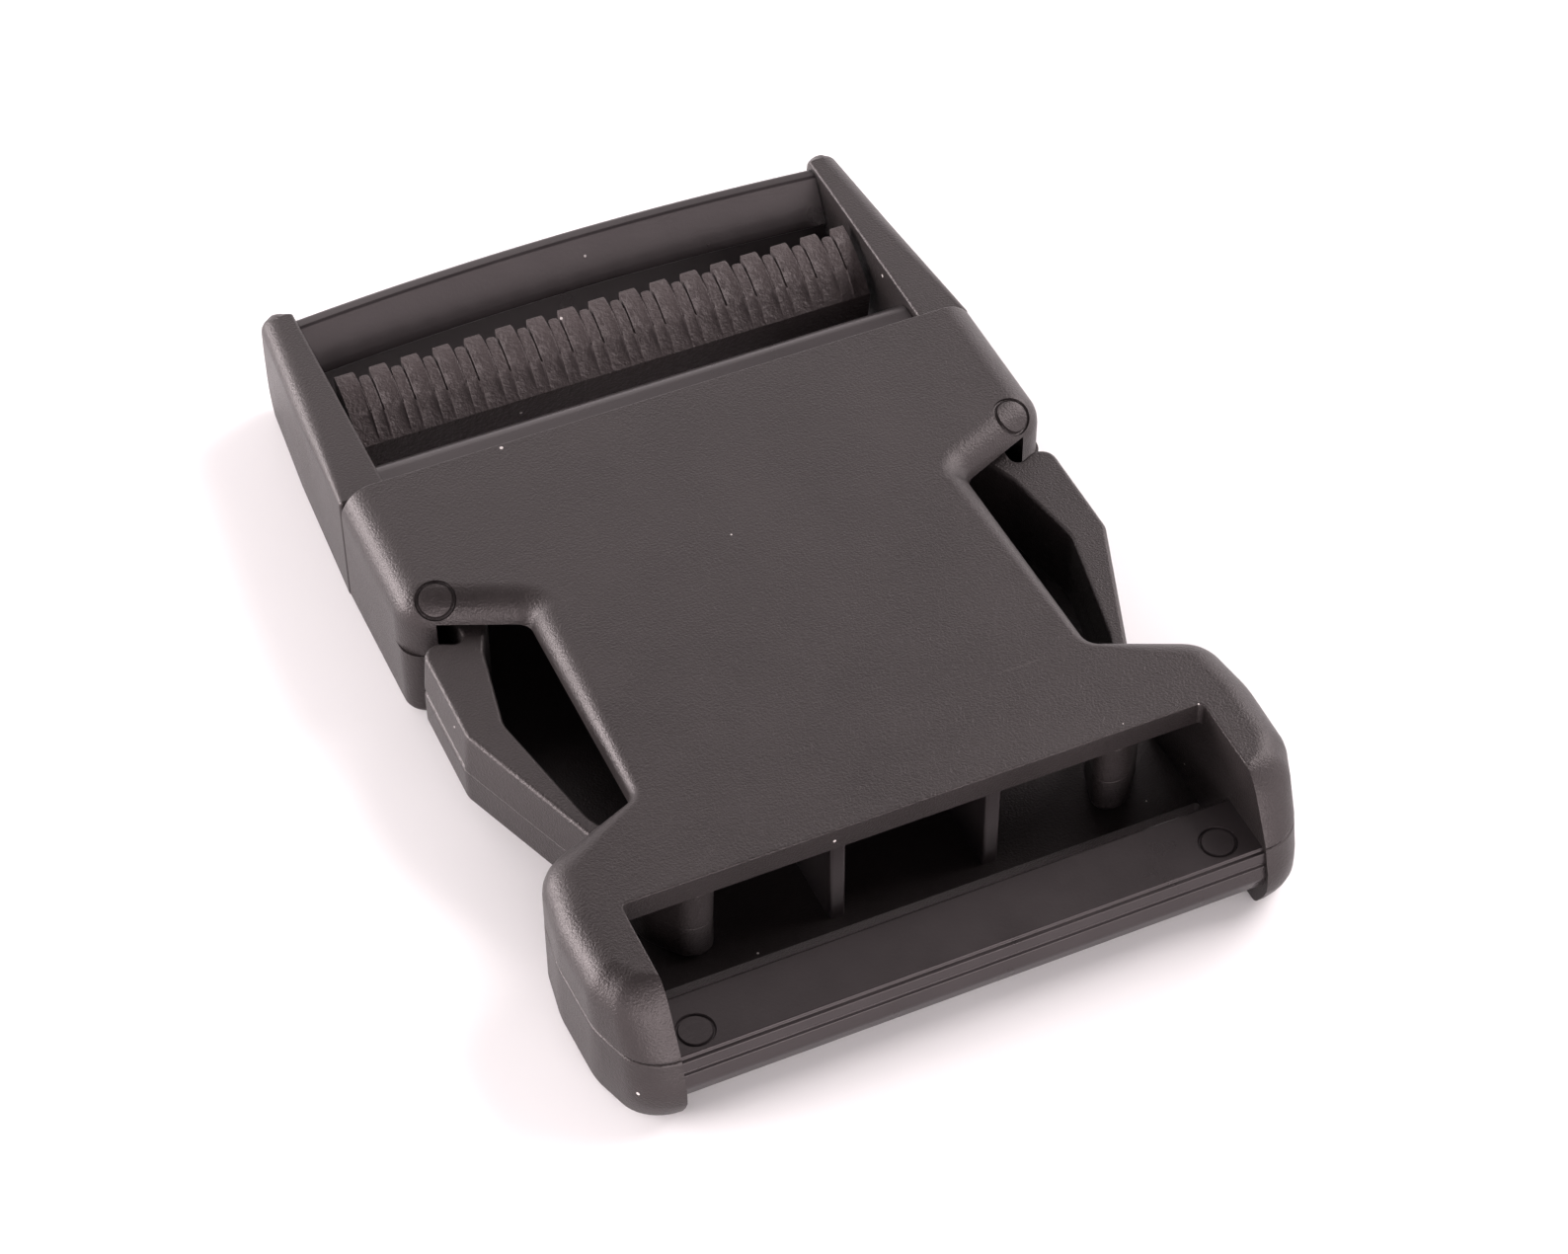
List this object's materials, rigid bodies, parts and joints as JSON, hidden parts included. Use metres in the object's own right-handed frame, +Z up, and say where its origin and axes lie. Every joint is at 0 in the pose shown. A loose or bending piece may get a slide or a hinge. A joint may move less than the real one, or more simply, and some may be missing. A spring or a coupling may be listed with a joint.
{
  "type": "side-release strap buckle",
  "caption": "Side-release buckle for wide webbing: a socket with a fixed strap bar and a sprung-arm plug with a toothed strap adjuster, shown latched.",
  "frame": {"origin": "on the table, under the middle of the latched buckle's box", "axes": "+Y along the strap from the socket to the plug, +X across the strap, +Z up through the grained face"},
  "size_m": [0.0618, 0.0918, 0.0133],
  "materials": {
    "grained_plastic": "fine spark-eroded grain",
    "smooth_plastic": "smooth, half gloss"
  },
  "bodies": {
    "socket": {"socket_top_shell": "grained_plastic", "socket_bottom_shell": "grained_plastic", "socket_strap_bar": "smooth_plastic", "guide_rib_left": "smooth_plastic", "guide_rib_right": "smooth_plastic"},
    "plug": {"plug_crossbar": "smooth_plastic", "plug_guide_tongue": "smooth_plastic", "plug_rail_left": "grained_plastic", "plug_rail_right": "grained_plastic", "plug_toothed_bar": "grained_plastic", "plug_rear_bar": "smooth_plastic"},
    "left_arm": {"latch_arm_left": "grained_plastic"},
    "right_arm": {"latch_arm_right": "grained_plastic"}
  },
  "joints": [
    {"name": "plug_slide", "type": "slide", "parent": "socket", "child": "plug", "axis": [0, 1, 0], "range_m": [0, 0.055], "deforming": ["latch_arm_left", "latch_arm_right"]},
    {"name": "left_arm_squeeze", "type": "hinge", "parent": "plug", "child": "left_arm", "pos_m": [-0.0242, 0.0163, 0], "axis": [0, 0, 1], "range_deg": [0, 10], "stiffness_Nm_per_rad": 1.2},
    {"name": "right_arm_squeeze", "type": "hinge", "parent": "plug", "child": "right_arm", "pos_m": [0.0242, 0.0163, 0], "axis": [0, 0, -1], "range_deg": [0, 10], "stiffness_Nm_per_rad": 1.2}
  ]
}
